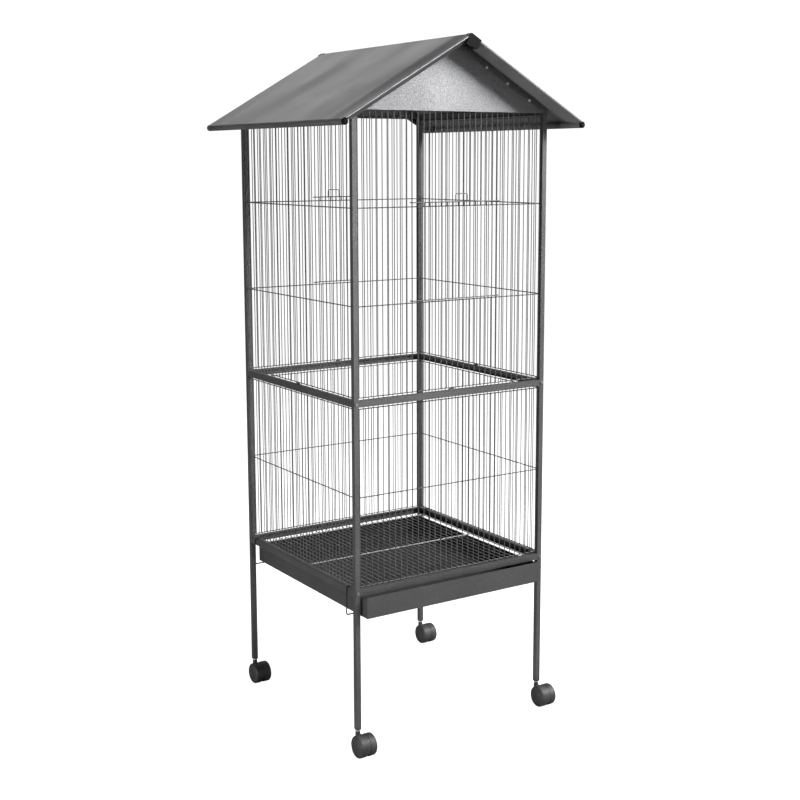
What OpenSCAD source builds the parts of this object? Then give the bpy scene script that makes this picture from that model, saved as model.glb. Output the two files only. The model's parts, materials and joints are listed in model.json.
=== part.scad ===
// Bird cage on stand: four square legs on twin wheel casters carry a wire cage
// under a gabled sheet roof, with a floor grate, a pull-out tray and two lift-up doors.
// Millimetres. +Z is up, the front gable faces -Y, +X is to the right.
// The origin is on the floor under the centre of the cage.

/* [Cage] */
// Width and depth over the corner posts
cage_w = 528; // [500:4:560]
// Side of the square post tube
post_w = 12; // [12:0.5:14]
// Height of the lower edge of the bottom bars
floor_bar_z = 366; // [340:2:380]
// Height of the lower edge of the middle bars
mid_bar_z = 795; // [760:5:820]
// Height of the lower edge of the top side rails
top_rail_z = 1431; // [1427:1:1431]
// Height of the channel bars
bar_h = 15; // [14:0.5:16]

/* [Wire] */
// Diameter of the upright cage wires
bar_d = 2; // [1.8:0.1:2.4]
// Diameter of the level cage wires
rod_d = 2.5; // [2.3:0.1:2.8]
// Number of upright wires on each side
wire_count = 33; // [33:1:33]
// Diameter of the tray runner wire
runner_d = 3; // [2.6:0.1:3.2]

/* [Doors] */
// Height of the rod under the door openings
door_low_z = 1015.4; // [1010:0.2:1020]
// Height of the rod over the door openings
door_high_z = 1227.8; // [1222:0.2:1232]
// Height that the grip loop stands above a door
grip_h = 18; // [14:1:20]

/* [Roof] */
// Width of the roof over the eaves
roof_w = 650; // [640:2:656]
// Length of the roof over the end caps
roof_l = 660; // [650:2:670]
// Height of the roof sheet at the ridge
ridge_z = 1598.8; // [1598:0.1:1599.2]
// Slope of the roof in degrees
roof_pitch = 29.8; // [29.6:0.05:30]
// Thickness of the roof and gable sheet
sheet_t = 1; // [0.8:0.1:1.2]
// Width of the turned-back edge along the rakes
rake_flange = 24; // [18:1:26]
// Diameter of the rolled eave edge
eave_d = 15; // [13:0.5:16]

/* [Tray] */
// Height of the tray bottom above the floor
tray_z = 318.4; // [316:0.2:322]
// Width of the tray
tray_w = 492; // [480:1:494]
// Height of the tray front plate
tray_front_h = 49; // [44:1:50]

/* [Casters] */
// Diameter of the caster wheels
wheel_d = 51; // [50:0.5:52]
// Width of one wheel
wheel_w = 20; // [18:0.5:20.5]
// Distance from the stem to the axle
caster_offset = 28; // [27:0.5:30]

/* [Hidden] */
$fn = 48;
half = cage_w / 2;
post_c = half - post_w / 2;
inner = half - post_w;
post_t = 1;
post_low = 56.5;
post_high = 1446;
bar_t = 1.2;
end_plate_t = 2;

// wire panels
edge_gap = 4;
pitch = 2 * (inner - edge_gap) / (wire_count - 1);
weld = 0.35;
wire_shift = (bar_d / 2 + rod_d / 2 - weld) / 2;
rod_gap = 5;
low_rod_z = floor_bar_z + bar_h + rod_gap;
mid_low_rod_z = mid_bar_z - rod_gap;
mid_high_rod_z = mid_bar_z + bar_h + rod_gap;
top_rod_z = top_rail_z - 3;
gable_rod_z = top_rail_z + 9;
centre_rod_rise = 2.5;
lower_centre_z = (low_rod_z + mid_low_rod_z) / 2 + centre_rod_rise;
tab_w = 12;
tab_t = 3;

// doors: index of the first and last guide wire of each opening
front_open = [9, 24];
rear_open = [12, 19];
// the rear panel is seen from outside, so its wires count the other way
rear_open_seen = [wire_count - 1 - rear_open[1], wire_count - 1 - rear_open[0]];
door_gap = 0.5;
door_bar_y = post_c + wire_shift + bar_d + door_gap;
door_rod_y = door_bar_y + bar_d / 2 + rod_d / 2 - weld;
door_low_rise = 4.8;
door_high_rise = 9.2;
door_low = door_low_z + door_low_rise;
door_high = door_high_z + door_high_rise;
hook_r = door_rod_y - (post_c + wire_shift);
grip_w = 32;
front_grip_shift = 13.5;
rear_grip_shift = -2.75;

// roof
slope_l = (roof_w / 2) / cos(roof_pitch);
ridge_cap_front = 1.2;
roof_half = roof_l / 2 - ridge_cap_front;
fold_r = 3;
fold_steps = 8;
rake_turn = 153;
rake_h = fold_r * (1 - cos(rake_turn)) + rake_flange * sin(rake_turn);
eave_r = eave_d / 2;
eave_x = roof_w / 2 - eave_r;
eave_lap = 0.3;
eave_z = ridge_z - eave_x * tan(roof_pitch) - (eave_r - eave_lap) / cos(roof_pitch);
slope_end = 4;
eave_cap_head = 5;
eave_cap_room = 0.3;
eave_cap_chamfer = 3;
eave_plug_l = 14;
eave_plug_r = eave_r - sheet_t - 0.1;
rake_cut = 20;
rake_cut_l = 46;
rake_cut_z = 4;
ridge_cap_l = 20;
ridge_cap_t = 1;
ridge_cap_reach = 26;
ridge_cap_back = 8;
ridge_cap_h = 21;
ridge_cap_foot = [-13, 24];
ridge_cap_room = 0.05;
ridge_gap = 0.1;
bracket_from = 30;
bracket_to = 272;
bracket_t = 1.2;
bracket_h = 20;
bracket_top = sheet_t + 0.2;

// gables
gable_t = 1.2;
gable_low = 1436;
gable_gap = 1.4;
gable_flange = 3.5;
gable_flange_gap = 0.5;
rivet_x = [88, 147, 210];
rivet_drop = 12;
rivet_r = 1.6;
rivet_head_r = 3.2;
rivet_head_h = 1.2;

// bolts
bolt_r = 2;
bolt_clear = 0.05;
bolt_l = 17;
bolt_head_r = 4;
bolt_head_h = 2.4;

// floor grate
grate_z = 366.6;
grate_half = inner - 5;
cross_d = 3;
cross_y = 225;
cross_half = inner + 10;

// tray
tray_t = 1;
tray_front_y = half + 20;
tray_back_y = 245;
tray_rim_z = 361;
rim_w = 5;

// tray runners
runner_y = 227;
runner_r = runner_d / 2;
runner_x = half + 0.4 + runner_r;
runner_low = tray_z - 0.5 - runner_r;
runner_high = floor_bar_z + bar_h + 0.2 + runner_r;
runner_in = inner - 0.5 - runner_r;
hook_end = floor_bar_z + 8;
bend_r = 4;

// casters
wheel_r = wheel_d / 2;
wheel_in = 4.5;
wheel_shell = 2.2;
wheel_edge = 5;
dome = 3;
dome_steps = 5;
hub_r = 6;
dimple_r = 5;
dimple_t = 1.2;
axle_r = 3;
axle_gap = 0.05;
axle_half = wheel_in + wheel_w - 7;
plate_half = 4;
plate_r = 18;
hood_r = wheel_r - 0.8;
hood_low = 12;
neck_r = 5.6;
neck_low = 38;
neck_high = 50.4;
collar_low = 50.8;
collar_high = 53;
collar_r = 5.8;
stem_r = 3;
stem_head_r = 3.8;
stem_head_low = 39;
stem_head_h = 1.6;
plug_high = 85;
stem_high = 80;
plug_fit = 0.1;
plug_step = 1.5;

slate = "#3d3f42";
charcoal = "#47494c";
black = "#1c1c1d";
zinc = "#c9cbcc";

function wire_x(k) = -(inner - edge_gap) + k * pitch;

// ---- frame ----

module post_at(sx, sy) {
    color(slate)
    translate([sx * post_c, sy * post_c, 0])
    difference() {
        square_bar(post_w, post_low, post_high);
        square_bar(post_w - 2 * post_t, post_low - 1, post_high + 1);
        for (z = [floor_bar_z, mid_bar_z, top_rail_z])
            translate([0, 0, z + bar_h / 2])
                rotate([90, 0, 0])
                cylinder(r = bolt_r + bolt_clear, h = 2 * post_w, center = true);
    }
}

// upright square bar on the Z axis
module square_bar(side, low, high) {
    translate([-side / 2, -side / 2, low])
        cube([side, side, high - low]);
}

// black plastic plug with a lip that holds a caster stem in the end of a post
module leg_plug_at(sx, sy) {
    translate([sx * post_c, sy * post_c, 0])
    difference() {
        union() {
            square_bar(post_w - plug_step, collar_high, post_low);
            square_bar(post_w, collar_high + plug_step, post_low);
            square_bar(post_w - 2 * post_t - plug_fit, collar_high, plug_high);
        }
        translate([0, 0, collar_low])
            cylinder(r = stem_r + bolt_clear, h = plug_high);
    }
}

module leg_plugs() {
    color(black)
    for (sx = [-1, 1], sy = [-1, 1])
        leg_plug_at(sx, sy);
}

// channel bar along X, open towards +Y, its outer face at y = 0
module channel(length, ends) {
    difference() {
        translate([-length / 2, 0, 0])
            cube([length, post_w, bar_h]);
        translate([-length / 2 - 1, bar_t, bar_t])
            cube([length + 2, post_w, bar_h - 2 * bar_t]);
    }
    if (ends)
        for (s = [-1, 1])
            difference() {
                translate([s * (length / 2 - end_plate_t / 2) - end_plate_t / 2, bar_t / 2, bar_t / 2])
                    cube([end_plate_t, post_w - bar_t / 2, bar_h - bar_t]);
                translate([s * length / 2, post_w / 2, bar_h / 2])
                    rotate([0, 90, 0])
                    cylinder(r = bolt_r + bolt_clear, h = 4 * end_plate_t, center = true);
            }
}

module rest_tab() {
    translate([-tab_w / 2, (post_w - tab_t) / 2, bar_h - bar_t / 2])
        cube([tab_w, tab_t, rod_gap - rod_d / 2 + bar_t / 2]);
}

// turn 0 front, 1 right, 2 rear, 3 left
module on_side(turn) {
    rotate([0, 0, 90 * turn])
        children();
}

module side_bar(turn, z, tab) {
    color(slate)
    on_side(turn)
    translate([0, -half, z]) {
        channel(2 * inner, turn % 2 == 1);
        if (tab)
            rest_tab();
    }
}

// ---- wire panels ----

module level_rod(z, from, to) {
    translate([from, 0, z])
        rotate([0, 90, 0])
        cylinder(d = rod_d, h = to - from);
}

module upright(x, from, to) {
    translate([x, 0, from])
        cylinder(d = bar_d, h = to - from);
}

// wire panel in the plane of a cage side; wires strictly between the two open indices
// are left out between the two door rods
module wire_panel(turn, low, high, levels, open) {
    color(charcoal)
    on_side(turn)
    translate([0, -post_c, 0]) {
        translate([0, -wire_shift, 0])
            for (k = [0 : wire_count - 1])
                if (k > open[0] && k < open[1]) {
                    upright(wire_x(k), low, door_low_z);
                    upright(wire_x(k), door_high_z, high);
                } else {
                    upright(wire_x(k), low, high);
                }
        translate([0, wire_shift, 0])
            for (z = levels)
                level_rod(z, -inner, inner);
    }
}

module upper_panel(turn, open) {
    // behind a gable the wires run on upward to a rod that the gable hides
    top = turn % 2 == 0 ? gable_rod_z : top_rod_z;
    wire_panel(turn, mid_high_rod_z, top, [mid_high_rod_z, door_low_z, door_high_z, top], open);
}

module lower_panel(turn) {
    levels = [low_rod_z, lower_centre_z, mid_low_rod_z];
    wire_panel(turn, low_rod_z, mid_low_rod_z, levels, [0, 0]);
}

// ---- doors ----

// rod of a door with a hook at each end that runs round a guide wire
module door_rod(z, from, to) {
    translate([0, -door_rod_y, 0])
        level_rod(z, from, to);
    for (end = [[from, -1], [to, 1]])
        translate([end[0], -door_rod_y + hook_r, z])
            mirror([end[1] < 0 ? 1 : 0, 0, 0])
            rotate([0, 0, -90])
            rotate_extrude(angle = 180)
            translate([hook_r, 0])
            circle(d = rod_d);
}

module door(turn, open, grip_shift) {
    from = wire_x(open[0]);
    to = wire_x(open[1]);
    color(charcoal)
    on_side(turn) {
        door_rod(door_low, from, to);
        door_rod(door_high, from, to);
        translate([0, -door_bar_y, 0])
            for (k = [open[0] + 1 : open[1] - 1])
                upright(wire_x(k), door_low, door_high);
        translate([(from + to) / 2 + grip_shift, -door_rod_y, door_high])
            grip();
    }
}

// upstanding loop that a finger lifts
module grip() {
    leg = grip_w / 2 - bend_r;
    for (s = [-1, 1]) {
        translate([s * grip_w / 2, 0, 0])
            cylinder(d = bar_d, h = grip_h - bend_r);
        translate([s * leg, 0, grip_h - bend_r])
            rotate([90, 0, 0])
            mirror([s < 0 ? 1 : 0, 0, 0])
            rotate_extrude(angle = 90)
            translate([bend_r, 0])
            circle(d = bar_d);
    }
    translate([-leg, 0, grip_h])
        rotate([0, 90, 0])
        cylinder(d = bar_d, h = 2 * leg);
}

// ---- gables ----

function gable_edge(x) = ridge_z - (sheet_t + gable_gap) / cos(roof_pitch) - abs(x) * tan(roof_pitch);

module rivet_holes(r) {
    for (s = [-1, 1], x = rivet_x)
        translate([s * x, 0, gable_edge(x) - rivet_drop])
            rotate([90, 0, 0])
            cylinder(r = r, h = 8, center = true);
}

module gable(turn) {
    color(charcoal)
    on_side(turn)
    difference() {
        union() {
            translate([0, -half, 0])
                rotate([90, 0, 0])
                linear_extrude(height = gable_t)
                polygon([[-half, gable_low], [half, gable_low], [half, gable_edge(half)],
                    [0, gable_edge(0)], [-half, gable_edge(half)]]);
            translate([-inner + gable_flange_gap, -half - gable_t / 2, gable_low])
                cube([2 * (inner - gable_flange_gap), gable_flange, gable_t]);
        }
        translate([0, -half, 0])
            rivet_holes(rivet_r);
        for (s = [-1, 1])
            translate([s * post_c, -half, top_rail_z + bar_h / 2])
                rotate([90, 0, 0])
                cylinder(r = bolt_r + bolt_clear, h = 8, center = true);
    }
}

// ---- roof ----

// one rake of the roof sheet at fold radius r: a rounded edge, then a flange slanting back inward
function rake_edge(side, r) =
    let (arc = [for (i = [0 : fold_steps])
        let (t = i * rake_turn / fold_steps)
        [side * (roof_half - fold_r + r * sin(t)), r * cos(t) - fold_r]])
    concat(arc, [arc[fold_steps] + rake_flange * [side * cos(rake_turn), -sin(rake_turn)]]);

function reversed(points) = [for (i = [len(points) - 1 : -1 : 0]) points[i]];

// folded sheet seen from the eave
module folded_section() {
    in_r = fold_r - sheet_t;
    polygon(concat(reversed(rake_edge(-1, fold_r)), rake_edge(1, fold_r),
        reversed(rake_edge(1, in_r)), rake_edge(-1, in_r)));
}

// places children in the plane of the right slope: x down the slope, z outward
module on_slope(side) {
    mirror([side < 0 ? 1 : 0, 0, 0])
        translate([0, 0, ridge_z])
        rotate([0, roof_pitch, 0])
        children();
}

module eave_cylinder(side, r, length) {
    translate([side * eave_x, 0, eave_z])
        rotate([90, 0, 0])
        cylinder(r = r, h = length, center = true);
}

module roof_panel(side) {
    tube_l = 2 * (roof_half - eave_cap_head);
    color(charcoal) {
        difference() {
            on_slope(side)
                translate([-rake_h, 0, 0])
                rotate([90, 0, 90])
                linear_extrude(height = slope_l - slope_end + rake_h)
                folded_section();
            // mitre at the ridge
            mirror([side < 0 ? 1 : 0, 0, 0])
                translate([-4 * rake_h, -roof_l, ridge_z - 2 * rake_h])
                cube([4 * rake_h + (side < 0 ? ridge_gap : 0), 2 * roof_l, 4 * rake_h]);
            // room inside the rolled eave and for its end caps
            eave_cylinder(side, eave_r - sheet_t / 2, 2 * roof_l);
            for (s = [-1, 1])
                translate([0, s * (tube_l / 2 + 2 * eave_cap_head), 0])
                    eave_cylinder(side, eave_r + eave_cap_room, 4 * eave_cap_head);
            // folded edges cut back where they meet the eave
            on_slope(side)
                translate([slope_l - rake_cut_l, -roof_l, -rake_h - rake_cut_z])
                rotate([0, -rake_cut, 0])
                mirror([0, 0, 1])
                cube([4 * rake_h, 2 * roof_l, 2 * rake_h]);
        }
        difference() {
            eave_cylinder(side, eave_r, tube_l);
            eave_cylinder(side, eave_r - sheet_t, 2 * roof_l);
        }
    }
}

// angle strip that joins a gable to the underside of a roof slope
module roof_bracket(front, side) {
    color(charcoal)
    difference() {
        on_slope(side)
            mirror([0, front > 0 ? 0 : 1, 0]) {
                translate([bracket_from, -half, -bracket_h - bracket_top])
                    cube([bracket_to - bracket_from, bracket_t, bracket_h]);
                translate([bracket_from, -half, -bracket_t - sheet_t])
                    cube([bracket_to - bracket_from, bracket_h, bracket_t]);
            }
        translate([0, -front * half, 0])
            rivet_holes(rivet_r);
    }
}

function roof_line(x, out) = ridge_z + out / cos(roof_pitch) - abs(x) * tan(roof_pitch);

// cap over the end of the ridge, where the right sheet laps the left one
module ridge_cap_at(front) {
    far = [ridge_cap_reach, roof_line(ridge_cap_reach, ridge_cap_t)];
    mirror([0, front > 0 ? 0 : 1, 0])
    translate([0, -roof_l / 2, 0])
    difference() {
        translate([0, ridge_cap_l, 0])
            rotate([90, 0, 0])
            linear_extrude(height = ridge_cap_l)
            polygon([[-ridge_cap_back, roof_line(ridge_cap_back, ridge_cap_t)],
                [0, roof_line(0, ridge_cap_t)], far,
                far - ridge_cap_h * [sin(roof_pitch), cos(roof_pitch)],
                [ridge_cap_foot[0], ridge_z - ridge_cap_foot[1]]]);
        // room for the folded edges of both roof sheets
        for (side = [-1, 1])
            on_slope(side)
                translate([-rake_h, ridge_cap_front, -rake_h - ridge_cap_room])
                cube([4 * rake_h, ridge_cap_l, rake_h + 2 * ridge_cap_room]);
    }
}

module ridge_caps() {
    color(black)
    for (front = [-1, 1])
        ridge_cap_at(front);
}

// plug with a chamfered head that closes the end of a rolled eave
module eave_cap_at(side, front) {
    head = eave_cap_head + ridge_cap_front;
    mirror([0, front > 0 ? 0 : 1, 0])
    translate([side * eave_x, -roof_l / 2, eave_z])
    rotate([-90, 0, 0])
    rotate_extrude()
    polygon([[0, 0], [eave_r - eave_cap_chamfer, 0], [eave_r, eave_cap_chamfer], [eave_r, head],
        [eave_plug_r, head], [eave_plug_r, eave_plug_l], [0, eave_plug_l]]);
}

module eave_caps() {
    color(black)
    for (side = [-1, 1], front = [-1, 1])
        eave_cap_at(side, front);
}

// ---- fastenings ----

module bolt() {
    rotate([-90, 0, 0]) {
        cylinder(r = bolt_r, h = bolt_l);
        translate([0, 0, -bolt_head_h + 0.8])
            cylinder(r = bolt_head_r, h = bolt_head_h - 0.8);
        translate([0, 0, -bolt_head_h])
            cylinder(r = bolt_head_r - 0.8, h = 1);
    }
}

module frame_bolts() {
    color(zinc)
    for (turn = [0, 2], s = [-1, 1])
        on_side(turn)
            translate([s * post_c, -half, bar_h / 2]) {
                translate([0, 0, floor_bar_z])
                    bolt();
                translate([0, 0, mid_bar_z])
                    bolt();
                translate([0, -gable_t, top_rail_z])
                    bolt();
            }
}

module rivets() {
    color(zinc)
    for (turn = [0, 2], s = [-1, 1], x = rivet_x)
        on_side(turn)
            translate([s * x, -half - gable_t, gable_edge(x) - rivet_drop])
            rotate([-90, 0, 0]) {
                translate([0, 0, -rivet_head_h])
                    cylinder(r = rivet_head_r, h = rivet_head_h);
                translate([0, 0, -0.1])
                    cylinder(r = rivet_r - bolt_clear, h = gable_t + bracket_t + 0.1);
                translate([0, 0, gable_t + bracket_t])
                    cylinder(r = rivet_head_r - 0.6, h = rivet_head_h);
            }
}

// ---- floor ----

module floor_grate() {
    color(charcoal) {
        for (k = [0 : wire_count - 1])
            translate([wire_x(k) * grate_half / (inner - edge_gap), grate_half, grate_z])
                rotate([90, 0, 0])
                cylinder(d = k == 0 || k == wire_count - 1 ? rod_d : bar_d, h = 2 * grate_half);
        for (y = [-cross_y, 0, cross_y])
            translate([-cross_half, y, grate_z + (bar_d + cross_d) / 2 - 2 * weld + 0.3])
                rotate([0, 90, 0])
                cylinder(d = cross_d, h = 2 * cross_half);
    }
}

module tray() {
    depth = tray_front_y + tray_back_y;
    color(slate) {
        difference() {
            translate([-tray_w / 2, -tray_front_y, tray_z])
                cube([tray_w, depth, tray_rim_z - tray_z]);
            translate([-tray_w / 2 + tray_t, -tray_front_y + tray_t, tray_z + tray_t])
                cube([tray_w - 2 * tray_t, depth - 2 * tray_t, tray_rim_z]);
        }
        // folded rims along the sides and the rear
        for (s = [-1, 1])
            translate([s * (tray_w / 2 - rim_w / 2) - rim_w / 2, -half + 2, tray_rim_z - tray_t])
                cube([rim_w, half + tray_back_y - 2, tray_t]);
        translate([-tray_w / 2, tray_back_y - rim_w, tray_rim_z - tray_t])
            cube([tray_w, rim_w, tray_t]);
        translate([-tray_w / 2, -tray_front_y, tray_z])
            cube([tray_w, tray_t, tray_front_h]);
    }
}

// straight wire between two points of the XZ plane
module wire_run(a, b) {
    d = b - a;
    translate([a[0], 0, a[1]])
        rotate([0, atan2(d[0], d[1]), 0])
        cylinder(r = runner_r, h = norm(d));
}

// quarter bend about a point of the XZ plane
module wire_bend(c, start) {
    translate([c[0], 0, c[1]])
        rotate([90, 0, 0])
        rotate([0, 0, start])
        rotate_extrude(angle = 90)
        translate([bend_r, 0])
        circle(r = runner_r);
}

// wire that hooks over both side bars and passes under the tray
module tray_runner(front) {
    b = bend_r;
    hook_b = (runner_x - runner_in) / 2;
    color(charcoal)
    translate([0, -front * runner_y, 0]) {
        wire_run([-runner_x + b, runner_low], [runner_x - b, runner_low]);
        for (s = [0, 1])
            mirror([s, 0, 0]) {
                wire_bend([runner_x - b, runner_low + b], 270);
                wire_run([runner_x, runner_low + b], [runner_x, runner_high - b]);
                wire_bend([runner_x - b, runner_high - b], 0);
                wire_run([runner_x - b, runner_high], [runner_in + b, runner_high]);
                wire_bend([runner_in + b, runner_high - b], 90);
                wire_run([runner_in, runner_high - b], [runner_in, hook_end]);
            }
    }
}

// ---- casters ----

module at_post(sx, sy) {
    translate([sx * post_c, sy * post_c, 0])
        children();
}

module caster_stems() {
    color(zinc)
    for (sx = [-1, 1], sy = [-1, 1])
        at_post(sx, sy) {
            translate([0, 0, stem_head_low])
                cylinder(r = stem_head_r, h = stem_head_h);
            translate([0, 0, stem_head_low + stem_head_h / 2])
                cylinder(r = stem_r, h = stem_high - stem_head_low - stem_head_h / 2);
            translate([0, 0, collar_low])
                cylinder(r = collar_r, h = collar_high - collar_low);
        }
}

module caster_plate(r) {
    translate([-plate_half, -caster_offset, wheel_r])
        rotate([0, 90, 0])
        cylinder(r = r, h = 2 * plate_half);
}

module caster_body(sx, sy) {
    color(black)
    at_post(sx, sy)
    difference() {
        union() {
            caster_plate(plate_r);
            // hood that follows the wheels over their front and top
            intersection() {
                caster_plate(hood_r);
                translate([-plate_half, -caster_offset - wheel_r, hood_low])
                    cube([2 * plate_half, 2 * wheel_r, 2 * wheel_r]);
            }
            translate([-plate_half, -caster_offset, wheel_r])
                cube([2 * plate_half, caster_offset + neck_r - 1, neck_low + 6 - wheel_r]);
            translate([0, 0, neck_low - 1])
                cylinder(r = neck_r, h = neck_high - neck_low + 1);
        }
        translate([0, 0, neck_low + 0.5])
            cylinder(r = stem_head_r + 0.4, h = stem_head_h + 1);
        translate([0, 0, neck_low + 1])
            cylinder(r = stem_r + axle_gap, h = neck_high);
        translate([0, -caster_offset, wheel_r])
            rotate([0, 90, 0])
            cylinder(r = axle_r, h = 4 * plate_half, center = true);
    }
}

module caster_axle(sx, sy) {
    color(zinc)
    at_post(sx, sy)
    translate([-axle_half, -caster_offset, wheel_r])
        rotate([0, 90, 0])
        cylinder(r = axle_r, h = 2 * axle_half);
}

// wheel half with a rounded tread edge and a domed outer face, hollow on its inner side
module wheel_shape() {
    face = wheel_in + wheel_w;
    dome_r = wheel_r - wheel_edge;
    difference() {
        rotate_extrude()
            polygon(concat(
                [[0, wheel_in], [wheel_r, wheel_in]],
                [for (a = [0 : 15 : 90]) [wheel_r - wheel_edge * (1 - cos(a)),
                    face - dome - wheel_edge * (1 - sin(a))]],
                [for (i = [1 : dome_steps])
                    let (r = dome_r + (dimple_r - dome_r) * i / dome_steps)
                    [r, face - dome * pow(r / dome_r, 2)]],
                [[dimple_r - 1, face - dimple_t], [0, face - dimple_t]]));
        translate([0, 0, wheel_in - 1])
            cylinder(r = axle_r + axle_gap, h = axle_half - wheel_in + 1.5);
        difference() {
            translate([0, 0, wheel_in - 1])
                cylinder(r = wheel_r - wheel_shell, h = wheel_w - dome - wheel_edge + 1);
            translate([0, 0, wheel_in - 2])
                cylinder(r = hub_r, h = wheel_w);
        }
    }
}

module caster_wheel(sx, sy, side) {
    color(black)
    at_post(sx, sy)
    translate([0, -caster_offset, wheel_r])
        mirror([side < 0 ? 1 : 0, 0, 0])
        rotate([0, 90, 0])
        wheel_shape();
}

// ---- nodes ----

post_at(-1, -1);  // post_front_left
post_at(1, -1);  // post_front_right
post_at(-1, 1);  // post_rear_left
post_at(1, 1);  // post_rear_right
leg_plugs();
side_bar(0, floor_bar_z, false);  // bottom_bar_front
side_bar(1, floor_bar_z, false);  // bottom_bar_right
side_bar(2, floor_bar_z, false);  // bottom_bar_rear
side_bar(3, floor_bar_z, false);  // bottom_bar_left
side_bar(0, mid_bar_z, true);  // middle_bar_front
side_bar(1, mid_bar_z, true);  // middle_bar_right
side_bar(2, mid_bar_z, true);  // middle_bar_rear
side_bar(3, mid_bar_z, true);  // middle_bar_left
side_bar(1, top_rail_z, false);  // top_rail_right
side_bar(3, top_rail_z, false);  // top_rail_left
upper_panel(0, front_open);  // upper_panel_front
upper_panel(1, [0, 0]);  // upper_panel_right
upper_panel(2, rear_open_seen);  // upper_panel_rear
upper_panel(3, [0, 0]);  // upper_panel_left
lower_panel(0);  // lower_panel_front
lower_panel(1);  // lower_panel_right
lower_panel(2);  // lower_panel_rear
lower_panel(3);  // lower_panel_left
door(0, front_open, front_grip_shift);  // door_front
door(2, rear_open_seen, rear_grip_shift);  // door_rear
gable(0);  // gable_front
gable(2);  // gable_rear
roof_panel(-1);  // roof_left
roof_panel(1);  // roof_right
roof_bracket(1, -1);  // roof_bracket_front_left
roof_bracket(1, 1);  // roof_bracket_front_right
roof_bracket(-1, -1);  // roof_bracket_rear_left
roof_bracket(-1, 1);  // roof_bracket_rear_right
ridge_caps();
eave_caps();
frame_bolts();
rivets();  // gable_rivets
floor_grate();
tray();
tray_runner(1);  // tray_runner_front
tray_runner(-1);  // tray_runner_rear
caster_stems();
caster_body(-1, -1);  // caster_body_front_left
caster_axle(-1, -1);  // caster_axle_front_left
caster_wheel(-1, -1, -1);  // wheel_front_left_a
caster_wheel(-1, -1, 1);  // wheel_front_left_b
caster_body(1, -1);  // caster_body_front_right
caster_axle(1, -1);  // caster_axle_front_right
caster_wheel(1, -1, -1);  // wheel_front_right_a
caster_wheel(1, -1, 1);  // wheel_front_right_b
caster_body(-1, 1);  // caster_body_rear_left
caster_axle(-1, 1);  // caster_axle_rear_left
caster_wheel(-1, 1, -1);  // wheel_rear_left_a
caster_wheel(-1, 1, 1);  // wheel_rear_left_b
caster_body(1, 1);  // caster_body_rear_right
caster_axle(1, 1);  // caster_axle_rear_right
caster_wheel(1, 1, -1);  // wheel_rear_right_a
caster_wheel(1, 1, 1);  // wheel_rear_right_b
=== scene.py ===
import json
import math

import bpy
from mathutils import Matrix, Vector

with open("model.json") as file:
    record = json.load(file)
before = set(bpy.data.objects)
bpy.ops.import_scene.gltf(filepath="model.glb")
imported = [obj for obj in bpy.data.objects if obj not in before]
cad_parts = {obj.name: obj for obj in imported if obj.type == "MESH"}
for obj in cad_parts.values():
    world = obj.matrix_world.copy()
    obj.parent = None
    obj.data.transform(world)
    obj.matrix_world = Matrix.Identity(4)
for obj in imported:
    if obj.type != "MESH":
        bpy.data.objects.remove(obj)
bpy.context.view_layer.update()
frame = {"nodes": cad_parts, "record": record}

nodes = frame["nodes"]
scene = bpy.context.scene


# ---- camera ----

SENSOR_MM = 36.0
LENS_MM = 59.27
LENS_SHIFT_Y = -0.05
CLIP = (0.05, 60.0)
CAMERA_AT = (-1.7115, -2.6864, 1.3294)
LOOK_DOWN_DEG, ROLL_DEG, TURN_DEG = 8.63, 0.17, -32.92


def make_camera():
    cam = bpy.data.cameras.new("camera")
    cam.sensor_width = SENSOR_MM
    cam.lens = LENS_MM
    cam.shift_y = LENS_SHIFT_Y
    cam.clip_start, cam.clip_end = CLIP
    obj = bpy.data.objects.new("camera", cam)
    obj.location = CAMERA_AT
    obj.rotation_euler = [math.radians(a) for a in (90.0 - LOOK_DOWN_DEG, ROLL_DEG, TURN_DEG)]
    scene.collection.objects.link(obj)
    scene.camera = obj


make_camera()


# ---- node helpers ----

def set_ramp(node, stops):
    band = node.color_ramp.elements
    band[0].position, band[0].color = stops[0][0], rgba(stops[0][1])
    band[1].position, band[1].color = stops[-1][0], rgba(stops[-1][1])
    for position, color in stops[1:-1]:
        band.new(position).color = rgba(color)


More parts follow.
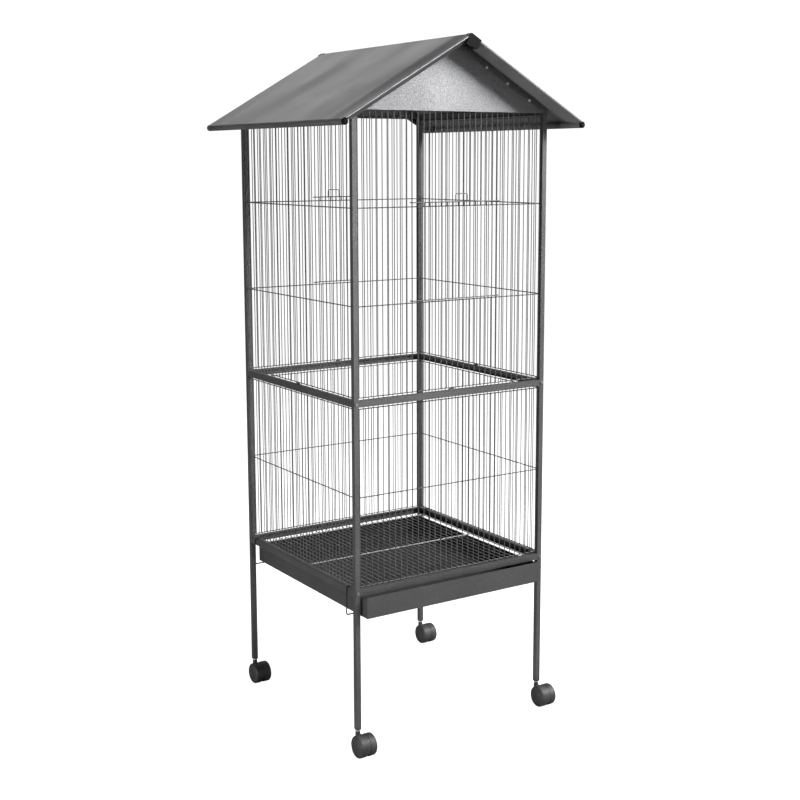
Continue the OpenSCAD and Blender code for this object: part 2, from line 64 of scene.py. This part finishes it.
class Tree:
    """Small helper round one material's node tree."""

    def __init__(self, name):
        self.mat = bpy.data.materials.new(name)
        self.mat.use_nodes = True
        self.nt = self.mat.node_tree
        self.nt.nodes.clear()
        self.out = self.new("ShaderNodeOutputMaterial")
        self.coord = self.new("ShaderNodeTexCoord").outputs["Object"]

    def new(self, kind, **values):
        node = self.nt.nodes.new(kind)
        for key, value in values.items():
            setattr(node, key, value)
        return node

    def link(self, a, b):
        self.nt.links.new(a, b)

    def noise(self, scale, detail=3.0, rough=0.55, stretch=None):
        n = self.new("ShaderNodeTexNoise")
        n.inputs["Scale"].default_value = scale
        n.inputs["Detail"].default_value = detail
        n.inputs["Roughness"].default_value = rough
        if stretch:
            m = self.new("ShaderNodeMapping")
            m.inputs["Scale"].default_value = stretch
            self.link(self.coord, m.inputs["Vector"])
            self.link(m.outputs["Vector"], n.inputs["Vector"])
        else:
            self.link(self.coord, n.inputs["Vector"])
        return n.outputs["Fac"]

    def cells(self, scale):
        v = self.new("ShaderNodeTexVoronoi", feature="F1")
        v.inputs["Scale"].default_value = scale
        self.link(self.coord, v.inputs["Vector"])
        return v.outputs["Distance"]

    def inside(self, axis, inner, outer):
        """Falls from 1 nearer the middle along an axis than inner to 0 beyond outer."""
        split = self.new("ShaderNodeSeparateXYZ")
        self.link(self.coord, split.inputs[0])
        away = self.new("ShaderNodeMath", operation="ABSOLUTE")
        self.link(split.outputs[axis], away.inputs[0])
        m = self.new("ShaderNodeMapRange", interpolation_type="SMOOTHSTEP")
        for key, value in (("From Min", inner), ("From Max", outer), ("To Min", 1.0), ("To Max", 0.0)):
            m.inputs[key].default_value = value
        self.link(away.outputs[0], m.inputs["Value"])
        return m.outputs["Result"]

    def both(self, a, b, strength):
        """The product of two sockets, times a strength."""
        product = self.new("ShaderNodeMath", operation="MULTIPLY")
        self.link(a, product.inputs[0])
        self.link(b, product.inputs[1])
        scaled = self.new("ShaderNodeMath", operation="MULTIPLY")
        self.link(product.outputs[0], scaled.inputs[0])
        scaled.inputs[1].default_value = strength
        return scaled.outputs[0]

    def blend(self, fac, outer, inner):
        """The constant outer where fac is 0 and the socket inner where it is 1."""
        m = self.new("ShaderNodeMix", data_type="FLOAT")
        self.link(fac, m.inputs["Factor"])
        m.inputs[2].default_value = outer
        self.link(inner, m.inputs[3])
        return m.outputs[0]

    def ramp(self, fac, stops):
        r = self.new("ShaderNodeValToRGB")
        set_ramp(r, stops)
        self.link(fac, r.inputs["Fac"])
        return r.outputs["Color"]

    def span(self, fac, low, high, a=0.3, b=0.7):
        m = self.new("ShaderNodeMapRange")
        for key, value in (("From Min", a), ("From Max", b), ("To Min", low), ("To Max", high)):
            m.inputs[key].default_value = value
        self.link(fac, m.inputs["Value"])
        return m.outputs["Result"]

    def mix(self, fac, a, b):
        m = self.new("ShaderNodeMix", data_type="RGBA", blend_type="MIX")
        for socket, value in ((m.inputs["Factor"], fac), (m.inputs[6], a), (m.inputs[7], b)):
            if isinstance(value, bpy.types.NodeSocket):
                self.link(value, socket)
            else:
                socket.default_value = value
        return m.outputs[2]

    def bump(self, height, strength, distance, normal=None):
        b = self.new("ShaderNodeBump")
        b.inputs["Strength"].default_value = strength
        b.inputs["Distance"].default_value = distance
        self.link(height, b.inputs["Height"])
        if normal:
            self.link(normal, b.inputs["Normal"])
        return b.outputs["Normal"]

    def finish(self, color, rough, normal=None, **constants):
        p = self.new("ShaderNodeBsdfPrincipled")
        self.link(color, p.inputs["Base Color"])
        self.link(rough, p.inputs["Roughness"])
        if normal:
            self.link(normal, p.inputs["Normal"])
        for key, value in constants.items():
            p.inputs[key.replace("_", " ")].default_value = value
        self.link(p.outputs["BSDF"], self.out.inputs["Surface"])
        return self.mat


def rgba(c):
    if isinstance(c, (int, float)):
        return (c, c, c, 1.0)
    return (*c, 1.0)


COOL_CAST = 1.03


def tint(v):
    """Near-neutral grey with a slight cool cast."""
    return (v, v, v * COOL_CAST)


# ---- materials ----

# distances from the middle of the tray's width and depth, in metres, across its walls; painted shade
# lies inside them
TRAY_SIDE = (0.2452, 0.2458)
TRAY_FRONT = (0.2832, 0.2838)
# how much darker than the dark tone a cloud is, and the painted shade inside the tray
CLOUD_SHADE, PAINTED_SHADE_TONE = 0.85, 0.2
# flecks are finer than dimples, and shallower
FLECK_SCALE, FLECK_RELIEF = 2.2, 0.6


def hammered(name, dark, light, rough=(0.34, 0.5), grain=420.0, metal=0.55, relief=0.25, painted_inner_shade=0.0):
    """Hammered powder coat: metallic flakes and shallow dimples under a satin skin; a tray's inside
    is darkened with painted shade, as if shaded by its grate and walls."""
    t = Tree(name)
    fleck = t.noise(grain * FLECK_SCALE, 2.0, 0.6)
    dimple = t.cells(grain)
    cloud = t.noise(9.0, 3.0)
    base = t.ramp(fleck, [(0.36, tint(dark)), (0.52, tint((dark + light) / 2)), (0.66, tint(light))])
    base = t.mix(t.span(cloud, 0.0, 0.35), base, rgba(tint(dark * CLOUD_SHADE)))
    # painted shade: darkens the tray's inside, standing in for the shadow of the grate and walls
    if painted_inner_shade:
        inner_shade_mask = t.both(t.inside("X", *TRAY_SIDE), t.inside("Y", *TRAY_FRONT), painted_inner_shade)
        base = t.mix(inner_shade_mask, base, rgba(tint(dark * PAINTED_SHADE_TONE)))
    skin = t.span(fleck, rough[0], rough[1])
    bumped = t.bump(dimple, relief, 0.0004)
    bumped = t.bump(fleck, relief * FLECK_RELIEF, 0.0002, bumped)
    return t.finish(base, skin, bumped, Metallic=metal, Coat_Weight=0.15, Coat_Roughness=0.3)


# distances from the middle of the roof's depth, in metres
SHEET_BEND = (0.262, 0.334)
RAKE_FOLD = (0.322, 0.327)
FOLD_ROUGH = 0.29
# the bend's share of the sheet's unevenness
BEND_SHARE = 0.4


def satin(name, dark, light, rough=(0.32, 0.46), metal=0.4, rolled=0.0, peel=0.15):
    """Satin powder coat with a very fine orange peel; on rolled sheet a bump tilts the shading as if
    the sheet bent down a little at its rakes, and its folds there are smoother."""
    t = Tree(name)
    peeled = t.noise(900.0, 2.0)
    cloud = t.noise(14.0, 4.0)
    base = t.ramp(cloud, [(0.35, tint(dark)), (0.65, tint(light))])
    bumped = t.bump(peeled, peel, 0.0002)
    coat = t.span(cloud, rough[0], rough[1])
    if rolled:
        coat = t.blend(t.inside("Y", *RAKE_FOLD), FOLD_ROUGH, coat)
        bumped = t.bump(t.inside("Y", *SHEET_BEND), 1.0, BEND_SHARE * rolled, bumped)
        bumped = t.bump(t.noise(4.5, 0.0, stretch=(0.6, 1.2, 0.6)), 1.0, rolled, bumped)
    return t.finish(base, coat, bumped, Metallic=metal, Coat_Weight=0.05, Coat_Roughness=0.25)


def plastic(name, dark, light, rough=(0.42, 0.58), shine=0.5):
    """Moulded nylon with a fine spark texture and slightly dusty patches."""
    t = Tree(name)
    grain = t.noise(1500.0, 2.0)
    cloud = t.noise(60.0, 4.0)
    base = t.ramp(cloud, [(0.35, tint(dark)), (0.7, tint(light))])
    bumped = t.bump(grain, 0.2, 0.00015)
    return t.finish(base, t.span(grain, rough[0], rough[1]), bumped, Specular_IOR_Level=shine)


def zinc(name):
    """Bright zinc plate with fine turning marks."""
    t = Tree(name)
    streak = t.noise(500.0, 3.0, stretch=(1.0, 1.0, 6.0))
    base = t.ramp(streak, [(0.3, (0.66, 0.67, 0.69)), (0.7, (0.84, 0.85, 0.86))])
    return t.finish(base, t.span(streak, 0.38, 0.55), t.bump(streak, 0.1, 0.0001), Metallic=0.7)


FRAME = hammered("frame_coat", 0.07, 0.2, grain=320.0, metal=0.7)
GABLE = hammered("gable_coat", 0.12, 0.40, rough=(0.32, 0.48), grain=290.0, metal=0.9, relief=0.4)
BOLT = hammered("bolt_coat", 0.16, 0.34, rough=(0.36, 0.5), grain=700.0, metal=0.7)
ROOF = satin("roof_coat", 0.115, 0.145, rough=(0.44, 0.52), metal=0.6, rolled=0.025, peel=0.03)
# painted light: the right roof sheet takes a darker, rougher, less metallic copy of the roof coat,
# toning down its highlight
ROOF_RIGHT = satin("roof_right_coat", 0.1, 0.13, rough=(0.58, 0.68), metal=0.12)
# painted shade darkens the inside of the tray coat
TRAY = hammered("tray_coat", 0.05, 0.11, rough=(0.45, 0.6), grain=500.0, metal=0.5, painted_inner_shade=0.72)
WIRE = satin("wire_coat", 0.055, 0.085, rough=(0.5, 0.62), metal=0.1)
# painted light: the floor grate takes a lighter copy of the wire coat, standing in for the light
# falling on it
GRATE = satin("grate_coat", 0.24, 0.34, rough=(0.42, 0.55), metal=0.3)
RUNNER = satin("runner_coat", 0.006, 0.012, rough=(0.55, 0.65), metal=0.0)
NYLON = plastic("black_nylon", 0.02, 0.038, rough=(0.5, 0.66))
CAP = plastic("cap_plastic", 0.004, 0.008, rough=(0.5, 0.65), shine=0.05)
ZINC = zinc("zinc_plate")

LOOK = {
    "frame_enamel": FRAME,
    "gable_enamel": GABLE,
    "roof_enamel": ROOF,
    "tray_enamel": TRAY,
    "wire_enamel": WIRE,
    "black_plastic": NYLON,
    "zinc_steel": ZINC,
}
OWN_LOOK = {
    "roof_right": ROOF_RIGHT,
    "ridge_caps": CAP,
    "eave_caps": CAP,
    "floor_grate": GRATE,
    "frame_bolts": BOLT,
    "tray_runner_front": RUNNER,
    "tray_runner_rear": RUNNER,
}


def dress_nodes():
    for part in frame["record"]["subparts"]:
        obj = nodes[part["node"]]
        obj.data.materials.clear()
        obj.data.materials.append(OWN_LOOK.get(part["node"], LOOK[part["material_slot"]]))


dress_nodes()

ROUNDED = ("post_", "bottom_bar_", "middle_bar_", "top_rail_", "tray", "gable_front", "gable_rear",
           "roof_bracket_", "leg_plugs", "caster_body_", "ridge_caps", "eave_caps")
EDGE_RADIUS = 0.0008
EDGE_SEGMENTS = 2
EDGE_ANGLE_DEG = 40.0


def round_edges():
    """Tiny edge radii of bent sheet and painted tube, which catch the light."""
    for name, obj in nodes.items():
        if name.startswith(ROUNDED) and not name.startswith("tray_runner"):
            bevel = obj.modifiers.new("edge_radius", "BEVEL")
            bevel.width = EDGE_RADIUS
            bevel.segments = EDGE_SEGMENTS
            bevel.limit_method = "ANGLE"
            bevel.angle_limit = math.radians(EDGE_ANGLE_DEG)
            bevel.use_clamp_overlap = True


round_edges()


# ---- stage: pale floor, soft boxes and a white surround ----

FLOOR_SIZE = 60.0
FLOOR_Z = -0.0005
# greys that the camera and the light meet on the floor
FLOOR_SEEN, FLOOR_BOUNCE = 0.35, 0.25
SURROUND_WHITE = 1.05
# height from straight down to straight up, and the grey there
ROOM_GREYS = [(0.0, 0.02), (0.5, 0.03), (0.62, 0.12), (1.0, 0.2)]
# name, place, aim, size, watts
SOFT_BOXES = (
    ("key_box", (2.65, -2.3, 3.1), (0.0, 0.0, 1.4), (1.7, 1.8), 350.0),
    ("post_box", (1.3, -3.2, 0.75), (0.0, 0.0, 0.8), (0.8, 0.6), 8.0),
    ("front_box", (0.6, -4.2, 0.3), (0.0, 0.0, 0.4), (2.4, 0.5), 8.0),
    ("ridge_box", (0.7, -3.0, 3.9), (0.0, -0.33, 1.5), (0.9, 0.9), 62.0),
    ("left_box", (-3.4, -0.6, 0.3), (0.0, 0.0, 0.3), (1.6, 0.5), 85.0),
    ("back_box", (1.1, 3.4, 3.4), (0.0, 0.0, 1.5), (3.2, 1.1), 24.0),
)


def floor():
    bpy.ops.mesh.primitive_plane_add(size=FLOOR_SIZE, location=(0.0, 0.0, FLOOR_Z))
    plane = bpy.context.object
    plane.name = "floor"
    t = Tree("floor_paper")
    path = t.new("ShaderNodeLightPath")
    seen = t.new("ShaderNodeEmission")
    seen.inputs["Color"].default_value = rgba(1.0)
    seen.inputs["Strength"].default_value = 1.0
    paper = t.new("ShaderNodeBsdfDiffuse")
    paper.inputs["Color"].default_value = rgba(FLOOR_SEEN)
    grey = t.new("ShaderNodeBsdfDiffuse")
    grey.inputs["Color"].default_value = rgba(FLOOR_BOUNCE)
    both = t.new("ShaderNodeAddShader")
    t.link(seen.outputs[0], both.inputs[0])
    t.link(paper.outputs[0], both.inputs[1])
    pick = t.new("ShaderNodeMixShader")
    t.link(path.outputs["Is Camera Ray"], pick.inputs["Fac"])
    t.link(grey.outputs[0], pick.inputs[1])
    t.link(both.outputs[0], pick.inputs[2])
    t.link(pick.outputs[0], t.out.inputs["Surface"])
    plane.data.materials.append(t.mat)


def surround():
    world = bpy.data.worlds.new("surround")
    world.use_nodes = True
    nt = world.node_tree
    nt.nodes.clear()
    out = nt.nodes.new("ShaderNodeOutputWorld")
    path = nt.nodes.new("ShaderNodeLightPath")
    coord = nt.nodes.new("ShaderNodeTexCoord")
    split = nt.nodes.new("ShaderNodeSeparateXYZ")
    ramp = nt.nodes.new("ShaderNodeValToRGB")
    set_ramp(ramp, ROOM_GREYS)
    span = nt.nodes.new("ShaderNodeMapRange")
    span.inputs["From Min"].default_value = -1.0
    white = nt.nodes.new("ShaderNodeBackground")
    white.inputs["Color"].default_value = rgba(1.0)
    white.inputs["Strength"].default_value = SURROUND_WHITE
    room = nt.nodes.new("ShaderNodeBackground")
    room.inputs["Strength"].default_value = 1.0
    mix = nt.nodes.new("ShaderNodeMixShader")
    nt.links.new(coord.outputs["Generated"], split.inputs[0])
    nt.links.new(split.outputs["Z"], span.inputs["Value"])
    nt.links.new(span.outputs["Result"], ramp.inputs["Fac"])
    nt.links.new(ramp.outputs["Color"], room.inputs["Color"])
    nt.links.new(path.outputs["Is Camera Ray"], mix.inputs["Fac"])
    nt.links.new(room.outputs[0], mix.inputs[1])
    nt.links.new(white.outputs[0], mix.inputs[2])
    nt.links.new(mix.outputs[0], out.inputs["Surface"])
    scene.world = world


def soft_box(name, at, aim, size, power):
    data = bpy.data.lights.new(name, "AREA")
    data.shape = "RECTANGLE"
    data.size, data.size_y = size
    data.energy = power
    obj = bpy.data.objects.new(name, data)
    obj.location = at
    obj.rotation_euler = (Vector(aim) - Vector(at)).to_track_quat("-Z", "Y").to_euler()
    obj.visible_camera = False
    scene.collection.objects.link(obj)


floor()
surround()
for box in SOFT_BOXES:
    soft_box(*box)
scene.view_settings.view_transform = "Standard"
